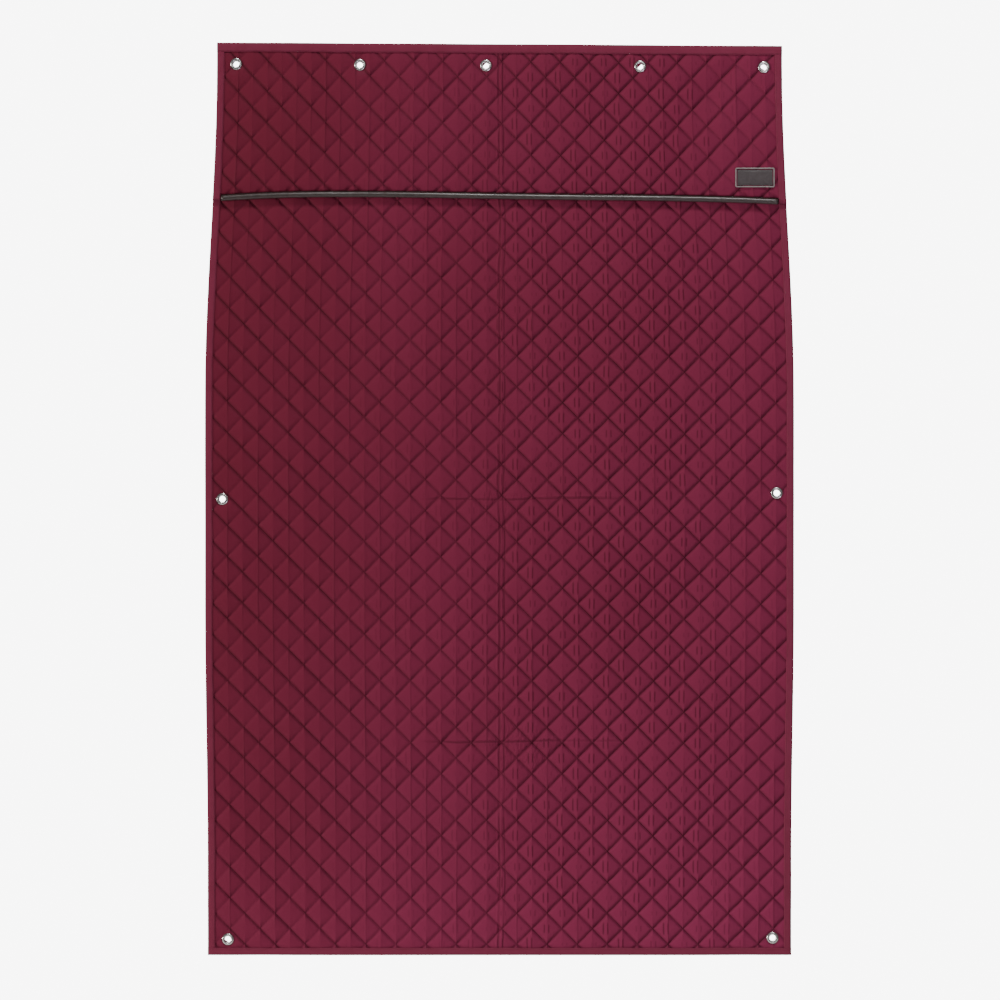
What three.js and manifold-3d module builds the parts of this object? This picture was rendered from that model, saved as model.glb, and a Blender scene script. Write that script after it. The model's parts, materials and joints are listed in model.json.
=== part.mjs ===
// Quilted stable curtain: a padded cloth panel that hangs across a stable doorway from a row of
// eyelets, with a quilted flap over its head that lifts forward about a line below that row.
// Millimetres, +Z up, front towards -Y. The origin is on the panel's back face, on its centre
// line, at the height of the top row of eyelets.

import * as THREE from 'three';
import { mergeVertices } from 'three/addons/utils/BufferGeometryUtils.js';
import Module from 'manifold-3d';

const wasm = await Module();
wasm.setup();

// ---- Outline of the curtain, over its bindings ----
const topZ = 46;                 // top edge on the centre line
const bottomZ = -1899;           // bottom edge
const lean = 0.006;              // the hung top edge drops this much per mm towards +X
const headHalfWidth = 603;       // half width at the head, drawn in by the eyelets
const bellyGain = 26;            // how much wider each side hangs below the flap
const bellyDepth = 700;          // depth by which that width is reached
const hemLoss = 6;               // how much each side draws in again above the hem
const hemLossFrom = 1150;
const hemLossTo = 1700;
const sideStep = 65;             // longest straight stretch of a side edge

// ---- Thicknesses, and the gap kept between touching pieces ----
const clothThickness = 0.5;
const waddingThickness = 3;
const tapeThickness = 0.8;
const gap = 0.3;

// ---- Widths of the binding tape, seen from the front ----
const sideTapeWidth = 16;
const topTapeWidth = 20;
const bottomTapeWidth = 16;

// ---- Flap: its fold line, and the piped lower edge ----
const foldZ = -20.3;
const foldGap = 0.6;
const pipingEnd = 594;
const pipingHeights = [-282, -274, -280, -282, -290];
const pipingRadius = 5.2;
const cordRadius = 4.1;
const pipingSides = 10;
const pipingSteps = 24;
const flangeWidth = 7;

// ---- Eyelets ----
const eyeletHoleRadius = 6.5;
const barrelRadius = 7.3;
const eyeletRadius = 12.5;
const lipRadius = 9.4;
const punchedRadius = 7.8;
const washerHoleRadius = 7.7;
const washerThickness = 0.8;
const lipThickness = 0.8;
const crownHeight = 2.3;
const eyeletSegments = 20;
const topEyeletXs = [-562, -298, -29, 300, 564];
const sideEyelets = [
  ['mid_left', -592, -925],
  ['mid_right', 592, -912],
  ['low_left', -580, -1865],
  ['low_right', 583, -1862],
];

// ---- Name patch on the flap ----
const patchCentre = new THREE.Vector2(545, -239);
const patchSize = new THREE.Vector2(84, 42);
const patchRim = 3;
const patchThickness = 1.6;
const rimThickness = 2.4;
const patchCorner = 2.5;

// ---- Depth of each stack: back face at the larger Y, front face at the smaller ----
const stackDepth = 2 * clothThickness + waddingThickness + 2 * gap;
const tapeReach = gap + tapeThickness;
const panelBack = 0;
const panelFront = panelBack - stackDepth;
const flapBack = panelFront - 2 * tapeReach - gap;
const flapFront = flapBack - stackDepth;
const pipingY = flapFront + 0.1;

const materials = {
  quilt: { color: 0x732a3c, roughness: 0.55, metalness: 0 },
  wadding: { color: 0xf0eeea, roughness: 1, metalness: 0 },
  lining: { color: 0x6a2636, roughness: 0.8, metalness: 0 },
  tape: { color: 0x7a2f44, roughness: 0.7, metalness: 0 },
  pipingCover: { color: 0x2b211e, roughness: 0.3, metalness: 0 },
  pipingCord: { color: 0xd8d4cc, roughness: 0.9, metalness: 0 },
  nickel: { color: 0xd9dadb, roughness: 0.2, metalness: 1 },
  patchLeather: { color: 0x4a4042, roughness: 0.35, metalness: 0 },
  patchRim: { color: 0xb9b4b2, roughness: 0.3, metalness: 0 },
};

const curtain = new THREE.Group();
const flap = new THREE.Group();
curtain.add(flap);

function addPiece(group, name, geometry, finish) {
  const mesh = new THREE.Mesh(geometry, new THREE.MeshStandardMaterial(materials[finish]));
  mesh.name = name;
  group.add(mesh);
  return mesh;
}

// ---- Edge lines, as heights over X ----
const { smoothstep } = THREE.MathUtils;

function halfWidthAt(z) {
  const belly = bellyGain * smoothstep(-z, 0, bellyDepth);
  const hem = hemLoss * smoothstep(-z, hemLossFrom, hemLossTo);
  return headHalfWidth + belly - hem;
}

const topEdge = (drop) => (x) => topZ - lean * x - drop;
const levelEdge = (z) => () => z;

// ---- Outlines, drawn in X and Z ----

// Points down one side of the curtain, between two edge lines, at heights that all pieces share.
function sidePoints(sign, inset, upper, lower) {
  const cornerX = (edge) => sign * (halfWidthAt(edge(0)) - inset);
  const high = upper(cornerX(upper));
  const low = lower(cornerX(lower));
  const heights = [high];
  for (let i = Math.ceil(high / sideStep) - 1; i * sideStep > low; i -= 1) {
    heights.push(i * sideStep);
  }
  heights.push(low);
  return heights.map((z) => new THREE.Vector2(sign * (halfWidthAt(z) - inset), z));
}

function fullWidthShape(inset, upper, lower, lowerPoints = []) {
  const left = sidePoints(-1, inset, upper, lower);
  const right = sidePoints(1, inset, upper, lower);
  return new THREE.Shape([...left, ...lowerPoints, ...right.reverse()]);
}

function sideStripShape(sign, width, upper, lower) {
  const outer = sidePoints(sign, 0, upper, lower);
  const inner = sidePoints(sign, width, upper, lower);
  return new THREE.Shape([...outer, ...inner.reverse()]);
}

function punchHoles(shape, eyelets) {
  for (const { x, z } of eyelets) {
    const hole = new THREE.Path();
    hole.absarc(x, z, punchedRadius, 0, 2 * Math.PI, true);
    shape.holes.push(hole);
  }
  return shape;
}

function roundedRectangle(width, height, radius) {
  const shape = new THREE.Shape();
  const x = width / 2 - radius;
  const z = height / 2 - radius;
  shape.absarc(x, z, radius, 0, Math.PI / 2);
  shape.absarc(-x, z, radius, Math.PI / 2, Math.PI);
  shape.absarc(-x, -z, radius, Math.PI, 1.5 * Math.PI);
  shape.absarc(x, -z, radius, 1.5 * Math.PI, 2 * Math.PI);
  return shape;
}

// ---- Solids ----

// An outline in X and Z, given its thickness from the back face towards the front.
function slab(shape, back, front, curveSegments = 7) {
  const options = { depth: back - front, bevelEnabled: false, curveSegments };
  const geometry = new THREE.ExtrudeGeometry(shape, options);
  geometry.rotateX(Math.PI / 2);
  geometry.translate(0, back, 0);
  return geometry;
}

function toManifold(geometry) {
  const bare = geometry.clone();
  bare.deleteAttribute('normal');
  bare.deleteAttribute('uv');
  const merged = mergeVertices(bare, 1e-4);
  return new wasm.Manifold(new wasm.Mesh({
    numProp: 3,
    vertProperties: new Float32Array(merged.attributes.position.array),
    triVerts: new Uint32Array(merged.index.array),
  }));
}

function fromManifold(solid) {
  const mesh = solid.getMesh();
  const geometry = new THREE.BufferGeometry();
  geometry.setAttribute('position', new THREE.BufferAttribute(mesh.vertProperties, 3));
  geometry.setIndex(new THREE.BufferAttribute(mesh.triVerts, 1));
  geometry.computeVertexNormals();
  return geometry;
}

function cut(body, tool) {
  return fromManifold(toManifold(body).subtract(toManifold(tool)));
}

function join(first, second) {
  return fromManifold(toManifold(first).add(toManifold(second)));
}

// ---- A quilted stack: face cloth, wadding and lining, from one outline ----
function addQuiltedStack(group, name, shape, back) {
  const liningFront = back - clothThickness;
  const waddingBack = liningFront - gap;
  const waddingFront = waddingBack - waddingThickness;
  const faceBack = waddingFront - gap;
  addPiece(group, `${name}_lining`, slab(shape, back, liningFront), 'lining');
  addPiece(group, `${name}_wadding`, slab(shape, waddingBack, waddingFront), 'wadding');
  addPiece(group, `${name}_face`, slab(shape, faceBack, faceBack - clothThickness), 'quilt');
}

// ---- Side tape: folded round the edge of one stack, so a channel open towards the middle ----
function addSideTape(group, name, sign, [upper, lower, pocketLower], back) {
  const strip = sideStripShape(sign, sideTapeWidth, upper, lower);
  const body = slab(strip, back + tapeReach, back - stackDepth - tapeReach);
  const pocketUpper = (x) => upper(x) + sideTapeWidth;
  const pocket = fullWidthShape(tapeThickness, pocketUpper, pocketLower);
  const tool = slab(pocket, back + gap, back - stackDepth - gap);
  addPiece(group, name, cut(body, tool), 'tape');
}

// ---- Piping: a cord in a leather cover whose flange is sewn over the flap's lower edge ----
function pipingPath(extra) {
  const end = pipingEnd + extra;
  const step = (2 * pipingEnd) / (pipingHeights.length - 1);
  const points = pipingHeights.map((z, i) => new THREE.Vector3(i * step - pipingEnd, pipingY, z));
  points[0].x = -end;
  points[points.length - 1].x = end;
  return new THREE.CatmullRomCurve3(points);
}

function pipingTube(radius, extra) {
  const section = new THREE.Shape().absarc(0, 0, radius, 0, 2 * Math.PI);
  return new THREE.ExtrudeGeometry(section, {
    steps: pipingSteps,
    curveSegments: pipingSides / 2,
    extrudePath: pipingPath(extra),
    bevelEnabled: false,
  });
}

function pipingLinePoints(rise) {
  return pipingPath(0).getSpacedPoints(pipingSteps).map((p) => new THREE.Vector2(p.x, p.z + rise));
}

function addPiping() {
  const lowPoints = pipingLinePoints(pipingRadius - 2);
  const highPoints = pipingLinePoints(pipingRadius + flangeWidth);
  const flangeShape = new THREE.Shape([...lowPoints, ...highPoints.reverse()]);
  const flangeBack = flapFront - gap;
  const flange = slab(flangeShape, flangeBack, flangeBack - tapeThickness);
  const cover = join(pipingTube(pipingRadius, 0), flange);
  addPiece(flap, 'piping_cover', cut(cover, pipingTube(cordRadius + gap, 5)), 'pipingCover');
  addPiece(flap, 'piping_cord', pipingTube(cordRadius, 0), 'pipingCord');
}

// ---- Name patch: a plain leather plate in a raised rim ----
function addPatch() {
  const back = flapFront - gap;
  const inner = patchSize.clone().subScalar(2 * patchRim);
  const rimShape = roundedRectangle(patchSize.x, patchSize.y, patchCorner);
  rimShape.holes.push(roundedRectangle(inner.x, inner.y, patchCorner / 2));
  const plateShape = roundedRectangle(inner.x - 2 * gap, inner.y - 2 * gap, patchCorner / 2);
  const rim = addPiece(flap, 'patch_rim', slab(rimShape, back, back - rimThickness, 3), 'patchRim');
  const plateGeometry = slab(plateShape, back, back - patchThickness, 3);
  const plate = addPiece(flap, 'patch_plate', plateGeometry, 'patchLeather');
  for (const piece of [rim, plate]) {
    piece.position.set(patchCentre.x, 0, patchCentre.y);
  }
}

// ---- Eyelet: a grommet whose barrel goes through the cloth and is rolled over a washer ----
function ringGeometry(profile) {
  const points = [...profile, profile[0]].map(([r, h]) => new THREE.Vector2(r, h));
  return new THREE.LatheGeometry(points, eyeletSegments).rotateZ(Math.PI);
}

function addEyelet(name, x, z, depth) {
  const washerTop = -gap;
  const washerBase = washerTop - washerThickness;
  const lipTop = washerBase - gap;
  const lipBase = lipTop - lipThickness;
  const flangeBase = depth + gap;
  const crown = depth + crownHeight;
  const grommet = ringGeometry([
    [eyeletHoleRadius, lipBase],
    [lipRadius, lipBase],
    [lipRadius, lipTop],
    [barrelRadius, lipTop],
    [barrelRadius, flangeBase],
    [eyeletRadius, flangeBase],
    [eyeletRadius - 0.3, flangeBase + 0.7],
    [eyeletRadius - 1.7, crown - 0.3],
    [eyeletRadius - 3.4, crown],
    [eyeletHoleRadius + 0.8, crown - 0.8],
    [eyeletHoleRadius, flangeBase],
  ]);
  const washer = ringGeometry([
    [washerHoleRadius, washerBase],
    [eyeletRadius, washerBase],
    [eyeletRadius, washerTop],
    [washerHoleRadius, washerTop],
  ]);
  for (const [suffix, geometry] of [['grommet', grommet], ['washer', washer]]) {
    const ring = addPiece(curtain, `eyelet_${name}_${suffix}`, geometry, 'nickel');
    ring.position.set(x, 0, z);
  }
}

// ---- Assembly ----
const topEyelets = topEyeletXs.map((x, i) => ({ name: `top_${i + 1}`, x, z: -lean * x }));
const otherEyelets = sideEyelets.map(([name, x, z]) => ({ name, x, z }));

const clothTop = topEdge(tapeReach);
const clothBottom = levelEdge(bottomZ + tapeReach);
const panelShape = fullWidthShape(tapeReach, clothTop, clothBottom);
punchHoles(panelShape, [...topEyelets, ...otherEyelets]);
addQuiltedStack(curtain, 'panel', panelShape, panelBack);

const headBottom = levelEdge(foldZ + foldGap / 2);
const headShape = fullWidthShape(tapeReach, clothTop, headBottom);
punchHoles(headShape, topEyelets);
addQuiltedStack(curtain, 'flap_head', headShape, flapBack);

const flapTop = levelEdge(foldZ - foldGap / 2);
const flapLine = pipingLinePoints(pipingRadius + gap);
const pipingEndHeight = (x) => (x < 0 ? pipingHeights[0] : pipingHeights.at(-1));
const stackEnd = (x) => pipingEndHeight(x) + pipingRadius + gap;
addQuiltedStack(flap, 'flap', fullWidthShape(tapeReach, flapTop, stackEnd, flapLine), flapBack);

const throughBottom = levelEdge(bottomZ - bottomTapeWidth);
const pocketEnd = (x) => stackEnd(x) - gap;
const tapeEnd = (x) => pipingEndHeight(x) - pipingRadius;
for (const [side, sign] of [['left', -1], ['right', 1]]) {
  const panelEdges = [clothTop, clothBottom, throughBottom];
  const headEdges = [clothTop, headBottom, throughBottom];
  addSideTape(curtain, `binding_${side}`, sign, panelEdges, panelBack);
  addSideTape(curtain, `flap_head_binding_${side}`, sign, headEdges, flapBack);
  addSideTape(flap, `flap_binding_${side}`, sign, [flapTop, tapeEnd, pocketEnd], flapBack);
}

// Top tape goes over both stacks and their side tapes; bottom tape over the panel alone.
const wide = -40;
const topStrip = fullWidthShape(0, topEdge(0), topEdge(topTapeWidth));
const topPocket = fullWidthShape(wide, topEdge(tapeThickness), topEdge(3 * topTapeWidth));
const topBody = slab(topStrip, panelBack + 2 * tapeReach, flapFront - 2 * tapeReach);
const topTool = slab(topPocket, panelBack + tapeReach + gap, flapFront - tapeReach - gap);
addPiece(curtain, 'binding_top', cut(topBody, topTool), 'tape');

const bottomStrip = fullWidthShape(0, levelEdge(bottomZ + bottomTapeWidth), levelEdge(bottomZ));
const pocketTop = levelEdge(bottomZ + 3 * bottomTapeWidth);
const bottomPocket = fullWidthShape(wide, pocketTop, levelEdge(bottomZ + tapeThickness));
const bottomBody = slab(bottomStrip, panelBack + 2 * tapeReach, panelFront - 2 * tapeReach);
const bottomTool = slab(bottomPocket, panelBack + tapeReach + gap, panelFront - tapeReach - gap);
addPiece(curtain, 'binding_bottom', cut(bottomBody, bottomTool), 'tape');

addPiping();
addPatch();
for (const { name, x, z } of topEyelets) {
  addEyelet(name, x, z, panelBack - flapFront);
}
for (const { name, x, z } of otherEyelets) {
  addEyelet(name, x, z, panelBack - panelFront);
}

export default curtain;
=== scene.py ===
import json
import math
from functools import partial

import bmesh
import bpy
import numpy as np
from mathutils import Matrix, Vector


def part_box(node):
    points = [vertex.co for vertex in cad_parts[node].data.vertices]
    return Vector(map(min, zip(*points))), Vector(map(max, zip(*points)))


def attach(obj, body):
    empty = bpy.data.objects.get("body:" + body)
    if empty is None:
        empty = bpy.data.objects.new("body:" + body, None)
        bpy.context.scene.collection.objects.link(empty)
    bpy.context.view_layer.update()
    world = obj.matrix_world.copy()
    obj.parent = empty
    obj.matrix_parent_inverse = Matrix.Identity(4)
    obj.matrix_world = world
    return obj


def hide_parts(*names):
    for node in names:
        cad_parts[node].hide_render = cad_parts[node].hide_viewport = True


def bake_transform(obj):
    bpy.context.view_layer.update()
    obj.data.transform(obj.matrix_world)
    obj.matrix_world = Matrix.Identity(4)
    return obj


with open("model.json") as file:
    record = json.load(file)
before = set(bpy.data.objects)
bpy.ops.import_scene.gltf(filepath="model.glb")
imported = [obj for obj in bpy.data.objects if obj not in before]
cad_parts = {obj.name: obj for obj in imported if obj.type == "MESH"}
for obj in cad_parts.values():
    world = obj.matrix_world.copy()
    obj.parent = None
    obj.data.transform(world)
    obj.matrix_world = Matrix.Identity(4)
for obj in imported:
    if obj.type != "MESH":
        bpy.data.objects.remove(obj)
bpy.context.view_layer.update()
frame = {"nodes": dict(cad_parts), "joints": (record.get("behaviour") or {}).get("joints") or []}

bpy.ops.object.select_all(action="DESELECT")

# Quilted stable curtain. Front is -Y, up is +Z, all sizes in metres.



def nodeCoords(name):
    mesh = frame["nodes"][name].data
    co = np.empty(len(mesh.vertices) * 3, np.float32)
    mesh.vertices.foreach_get("co", co)
    return co.reshape(-1, 3).astype(float)


def outerEdge(name, sign):
    co = nodeCoords(name)
    heights = np.unique(np.round(co[:, 2], 4))
    reach = [np.max(sign * co[np.abs(co[:, 2] - z) < 2e-4, 0]) for z in heights]
    return heights, np.array(reach)


edgeHeights, edgeReach = outerEdge("binding_right", 1)
clothHalf = edgeReach.max()                      # half of the width it was cut to
topCo = nodeCoords("binding_top")
leftTop = topCo[topCo[:, 0] < -0.3, 2].max()
rightTop = topCo[topCo[:, 0] > 0.3, 2].max()
topEnds = topCo[:, 0].min(), topCo[:, 0].max()
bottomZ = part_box("binding_bottom")[0].z
sideWidth = np.ptp(nodeCoords("flap_head_binding_left")[:, 0])
topWidth = np.ptp(topCo[:, 2]) - abs(leftTop - rightTop)
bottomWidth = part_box("binding_bottom")[1].z - bottomZ
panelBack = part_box("panel_lining")[1].y
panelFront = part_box("panel_face")[0].y
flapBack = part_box("flap_lining")[1].y
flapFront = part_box("flap_face")[0].y
panelMid = (panelBack + panelFront) / 2
flapMid = (flapBack + flapFront) / 2
stackHalf = (panelBack - panelFront) / 2
cordCo = nodeCoords("piping_cord")
pipingFit = np.polyfit(cordCo[:, 0], cordCo[:, 2], 4)
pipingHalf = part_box("piping_cover")[1].x
pipingY = (cordCo[:, 1].min() + cordCo[:, 1].max()) / 2
foldLine = frame["joints"][0]["pos_m"]
height = (leftTop + rightTop) / 2 - bottomZ

eyelets = []
for nodeName in sorted(frame["nodes"]):
    if nodeName.endswith("_grommet"):
        low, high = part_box(nodeName)
        eyelets.append({"name": nodeName[:-8], "x": (low.x + high.x) / 2,
                        "z": (low.z + high.z) / 2, "front": low.y, "back": high.y})


def halfWidthAt(z):
    return np.interp(z, edgeHeights, edgeReach)


def topAt(x):
    return np.interp(x, topEnds, (leftTop, rightTop))


def pipingAt(x):
    return np.polyval(pipingFit, np.clip(x, -pipingHalf, pipingHalf))


def smooth(x, low, high):
    t = np.clip((x - low) / (high - low), 0, 1)
    return t * t * (3 - 2 * t)


def scatter(i, j, seed):                          # a steady random number for each diamond
    v = np.sin(i * 12.9898 + j * 78.233 + seed * 37.719) * 43758.5453
    return v - np.floor(v)


def toLinear(hexColour):
    values = [int(hexColour[k:k + 2], 16) / 255 for k in (1, 3, 5)]
    linear = [v / 12.92 if v <= 0.04045 else ((v + 0.055) / 1.055) ** 2.4 for v in values]
    return (*linear, 1.0)


def newMaterial(name):
    material = bpy.data.materials.new(name)
    material.use_nodes = True
    return material, partial(addNode, material), material.node_tree.nodes["Principled BSDF"]


def plugIn(node, inputs):
    # Each input is a value, or another node's output.
    for key, value in inputs.items():
        if isinstance(value, bpy.types.NodeSocket):
            node.id_data.links.new(value, node.inputs[key])
        else:
            node.inputs[key].default_value = value


def addNode(owner, kind, *inputs, out=0, **rest):
    # Inputs come in order or by their capitalised names, the other names are settings.
    node = owner.node_tree.nodes.new("ShaderNode" + kind)
    for key, value in rest.items():
        if key[0].islower():
            setattr(node, key, value)
    plugIn(node, dict(enumerate(inputs)))
    plugIn(node, {key: value for key, value in rest.items() if key[0].isupper()})
    return node.outputs[out]


# Settings that the nodes below share.
plus, minus, times, over, power, absolute, greatest, least, fraction, floored, above = [
    {"operation": operation} for operation in (
        "ADD", "SUBTRACT", "MULTIPLY", "DIVIDE", "POWER", "ABSOLUTE", "MAXIMUM", "MINIMUM",
        "FRACT", "FLOOR", "GREATER_THAN")]
eased = {"interpolation_type": "SMOOTHSTEP"}
blended = {"data_type": "RGBA", "out": "Result"}

# The quilting lattice: its lines run at 45 degrees, and cross in the flat cloth every pitch.
quilting = {"pitchX": 0.0651, "pitchZ": 0.0661, "panelStart": (0.0047, -1.0278),
            "flapStart": (0.0047, -0.1028), "stitchLength": 0.0034, "stray": 0.0024,
            "levelFolds": (-0.969, -1.488), "foldEnds": (-0.19, 0.29),
            "crumpled": ((0.035, -1.495), (0.09, -1.51), (0.0, -0.985))}
# How far apart in metres the details of each pattern lie.
patterns = {"stray": 0.0357, "uneven": 0.0294, "folded": (1 / 30, 0.25), "broad": 0.3846,
            "drift": 0.2857, "broken": 0.1111, "pucker": 0.01923, "weave": 0.004231,
            "cloudy": 0.1111}
# Heights in metres of what is too fine for the mesh.
reliefs = {"weave": 0.00004, "thread": 0.0003, "roof": 0.0029, "channel": 0.0008,
           "pleat": 0.0006, "crease": 0.0008, "column": 0.0005, "pucker": 0.0007,
           "crumple": 0.0024}
# How much of the channel colour, as painted shade, each of them takes.
shades = {"halo": 0.38, "pleat": 0.52, "crease": 0.42, "column": 0.16}


def quiltedCloth(name, start, colours):
    # Woven polyester satin face: smooth, a soft sheen, with painted shade in the sewn channels and
    # a painted sheen from wine red to plum.
    material, add, shader = newMaterial(name)
    uv = add("UVMap", uv_map="cloth")
    x, z = add("SeparateXYZ", uv, out="X"), add("SeparateXYZ", uv, out="Y")

    # The sewn lines stray by about a millimetre.
    stray = add("TexNoise", uv, Scale=1 / patterns["stray"], Detail=2.0)
    stray = add("Math", add("Math", stray, 0.5, **minus), quilting["stray"], **times)
    across = add("Math", add("Math", x, stray, **plus), start[0], **minus)
    across = add("Math", across, quilting["pitchX"], **over)
    down = add("Math", add("Math", z, stray, **minus), start[1], **minus)
    down = add("Math", down, quilting["pitchZ"], **over)

    # Both families of channels: the lane number, the share across it, and how near its edge is.
    lanes = [add("Math", across, down, **plus), add("Math", across, down, **minus)]
    shares = [add("Math", lane, **fraction) for lane in lanes]
    near = [add("Math", part, add("Math", 1.0, part, **minus), **least) for part in shares]
    channelPulls = [add("Attribute", attribute_name=layer, out="Fac") for layer in ("channelA", "channelB")]
    # Each channel gets a thin core and a wider soft halo: both darken the colour as painted shade,
    # and the halo also sinks the relief.
    core, halo = [], []
    for edge, strength in zip(near, channelPulls):
        line = add("MapRange", edge, 0.0, 0.03, 1.0, 0.0, **eased)
        core.append(add("Math", line, strength, **times))
        line = add("MapRange", edge, 0.0, 0.12, 1.0, 0.0, **eased)
        halo.append(add("Math", line, strength, **times))
    uneven = add("TexNoise", uv, Scale=1 / patterns["uneven"], Detail=1.0)
    uneven = add("MapRange", uneven, 0.32, 0.6, 0.6, 1.0, **eased)
    core = add("Math", add("Math", *core, **greatest), uneven, **times)
    halo = add("Math", *halo, **greatest)

    # Stitches along each channel.
    perSide = math.hypot(quilting["pitchX"], quilting["pitchZ"]) / 2 / quilting["stitchLength"]
    stitches = []
    for edge, along in ((near[0], lanes[1]), (near[1], lanes[0])):
        onLine = add("MapRange", edge, 0.006, 0.018, 1.0, 0.0, **eased)
        beat = add("Math", add("Math", along, perSide, **times), **fraction)
        stitches.append(add("Math", onLine, add("Math", beat, 0.25, **above), **times))
    thread = add("Math", *stitches, **greatest)

    # Sideways and upright place inside a diamond, and a random number for each diamond.
    sideways = add("Math", add("Math", *shares, **plus), 1.0, **minus)
    upright = add("Math", add("Math", *shares, **minus), **absolute)
    cell = add("CombineXYZ", *[add("Math", lane, **floored) for lane in lanes])
    chance = add("TexWhiteNoise", cell, noise_dimensions="3D")

    # Every cushion is folded a little along its upright middle, like a low roof.
    room = add("Math", add("Math", 1.0, upright, **minus), 0.08, **greatest)
    slope = add("Math", add("Math", sideways, **absolute), room, **over)
    roof = add("Math", 1.0, slope, **minus)

    # Long upright lines where a column of cushions has been folded, two to a diamond.
    column = add("Math", add("Math", across, 2.0, **times), 0.5, **plus)
    column = add("Math", add("Math", add("Math", column, **fraction), 0.5, **minus), **absolute)
    wide, tall = patterns["folded"]
    longways = add("Mapping", uv, Scale=(1 / wide, 1 / tall, 1.0))
    folded = add("TexNoise", longways, Scale=1.0, Detail=1.0)
    folded = add("MapRange", folded, 0.46, 0.64, 0.0, 1.0, **eased)
    column = add("Math", add("MapRange", column, 0.0, 0.1, 1.0, 0.0, **eased), folded, **times)

    # A pair of short upright pleats at the middle of most diamonds, where the filling bunches.
    shift = add("Math", add("Math", chance, 0.5, **minus), 0.34, **times)
    apart = add("Math", add("Math", sideways, shift, **plus), **absolute)
    apart = add("Math", add("Math", apart, 0.15, **minus), **absolute)
    reach = add("Math", 0.1, add("Math", chance, 0.4, **times), **plus)
    pleat = add("Math", upright, reach, **over)
    pleat = add("MapRange", pleat, 0.55, 1.1, 1.0, 0.0, **eased)
    pleat = add("Math", add("MapRange", apart, 0.0, 0.085, 1.0, 0.0, **eased), pleat, **times)
    bunched = add("Attribute", attribute_name="pleats", out="Fac")
    bunched = add("Math", bunched, add("MapRange", chance, 0.1, 0.7, 0.3, 1.0, **eased), **times)
    pleat = add("Math", pleat, bunched, **times)

    # Painted sheen: the colour goes from wine red on the left to plum low down in the middle and to
    # the right, where the satin catches the fill light; broad noise adds a random tone.
    broad = add("TexNoise", uv, Scale=1 / patterns["broad"], Detail=2.0, Roughness=0.5)
    low = add("Math", 0.07, add("Math", x, 0.03, **times), **plus)
    low = add("Math", add("Math", add("Math", z, **absolute), 3.0, **power), low, **times)
    side = add("MapRange", x, -0.46, -0.16, 0.02, 0.2, **eased)
    sheenAndTone = add("Math", low, add("Math", x, 0.22, **times), **plus)
    sheenAndTone = add("Math", sheenAndTone, add("Math", side, add("Math", broad, 0.3, **times), **plus), **plus)
    base = add("Mix", Factor=sheenAndTone, A=toLinear(colours["wine"]), B=toLinear(colours["plum"]),
               **blended)

    # Folds left from packing: one upright down the middle, and two level ones across it. Each
    # is a raised line beside a sunk one, given by its place and half width.
    drift = add("TexNoise", uv, Scale=1 / patterns["drift"], Detail=3.0, Roughness=0.6)
    drift = add("Math", drift, 0.5, **minus)
    sideLine = add("Math", x, add("Math", drift, 0.022, **times), **plus)
    levelLine = add("Math", z, add("Math", drift, 0.02, **times), **plus)
    folds = [(sideLine, -0.004, 0.0032, "crest"), (sideLine, 0.0, 0.0036, "dip"),
             (sideLine, 0.0105, 0.003, "dip")]
    for spot in quilting["levelFolds"]:
        folds += [(levelLine, spot + 0.0045, 0.003, "crest"), (levelLine, spot, 0.0034, "dip")]
    left, right = quilting["foldEnds"]
    between = add("Math", add("MapRange", x, left, left + 0.1, 0.0, 1.0, **eased),
                  add("MapRange", x, right - 0.1, right, 1.0, 0.0, **eased), **times)
    broken = add("TexNoise", uv, Scale=1 / patterns["broken"], Detail=1.0)
    broken = add("MapRange", broken, 0.36, 0.55, 0.4, 1.0, **eased)
    lines = {"crest": 0.0, "dip": 0.0}
    for value, spot, halfWidth, kind in folds:
        off = add("Math", add("Math", value, spot, **minus), **absolute)
        line = add("MapRange", off, 0.0, halfWidth, 1.0, 0.0, **eased)
        if value == levelLine:
            line = add("Math", between, line, **times)
        lines[kind] = add("Math", lines[kind], line, **greatest)
    crest, dip = [add("Math", lines[kind], broken, **times) for kind in ("crest", "dip")]

    # Painted shade: the channels, the pleats, the sunk side of the packing folds and the folded
    # columns are darkened towards the channel colour.
    shade = core
    for kind, mask in (("halo", halo), ("pleat", pleat), ("crease", dip), ("column", column)):
        shade = add("Math", shade, add("Math", mask, shades[kind], **times), **greatest)
    baseWithPaintedShade = add("Mix", Factor=shade, A=base, B=toLinear(colours["channel"]), **blended)

    # Fine upright puckers, and a weave drawn 4 mm apart because its own threads are too fine.
    narrowed = add("Mapping", uv, Scale=(2.4, 1.0, 1.0))
    pucker = add("TexNoise", narrowed, Scale=1 / patterns["pucker"], Detail=3.0, Roughness=0.55,
                 Distortion=0.5)
    weave = add("TexWave", uv, Scale=2 * math.pi / (10 * math.sqrt(2) * patterns["weave"]),
                Distortion=0.4, Detail=1.0, bands_direction="DIAGONAL", out="Fac")
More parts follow.
